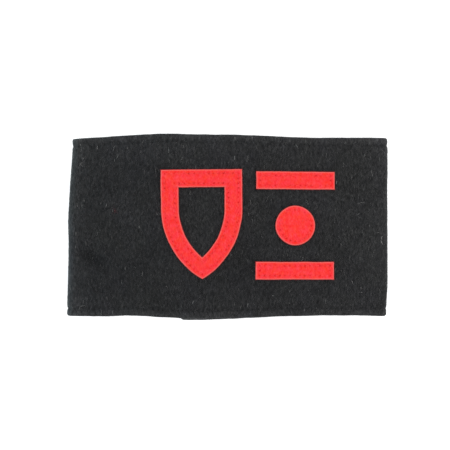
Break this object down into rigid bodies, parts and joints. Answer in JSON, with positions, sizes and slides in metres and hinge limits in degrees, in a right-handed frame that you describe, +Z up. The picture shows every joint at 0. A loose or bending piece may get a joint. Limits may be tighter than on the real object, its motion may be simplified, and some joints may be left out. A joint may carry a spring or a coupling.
{
  "type": "armband",
  "caption": "Wide upper-arm band: a lying loop of doubled dark wool cloth with topstitched edges, a lapped back seam and plain red felt cut-outs on its front.",
  "frame": {"origin": "on the surface that the armband lies on, under the middle of its bounding box", "axes": "+X along the flattened loop, from its soft fold to its tight fold; +Y across the cloth, towards the cut-outs' tops, which is the way that the arm goes through; +Z up, out of the decorated front"},
  "size_m": [0.2014, 0.1168, 0.0159],
  "materials": {
    "wool_cloth": "felted near-black wool, matt and fibrous",
    "red_felt": "matt red felt, cut edges, red machine stitching"
  },
  "bodies": {
    "root": {"band": "wool_cloth", "shield_patch": "red_felt", "upper_bar_patch": "red_felt", "disc_patch": "red_felt", "lower_bar_patch": "red_felt"}
  },
  "joints": []
}
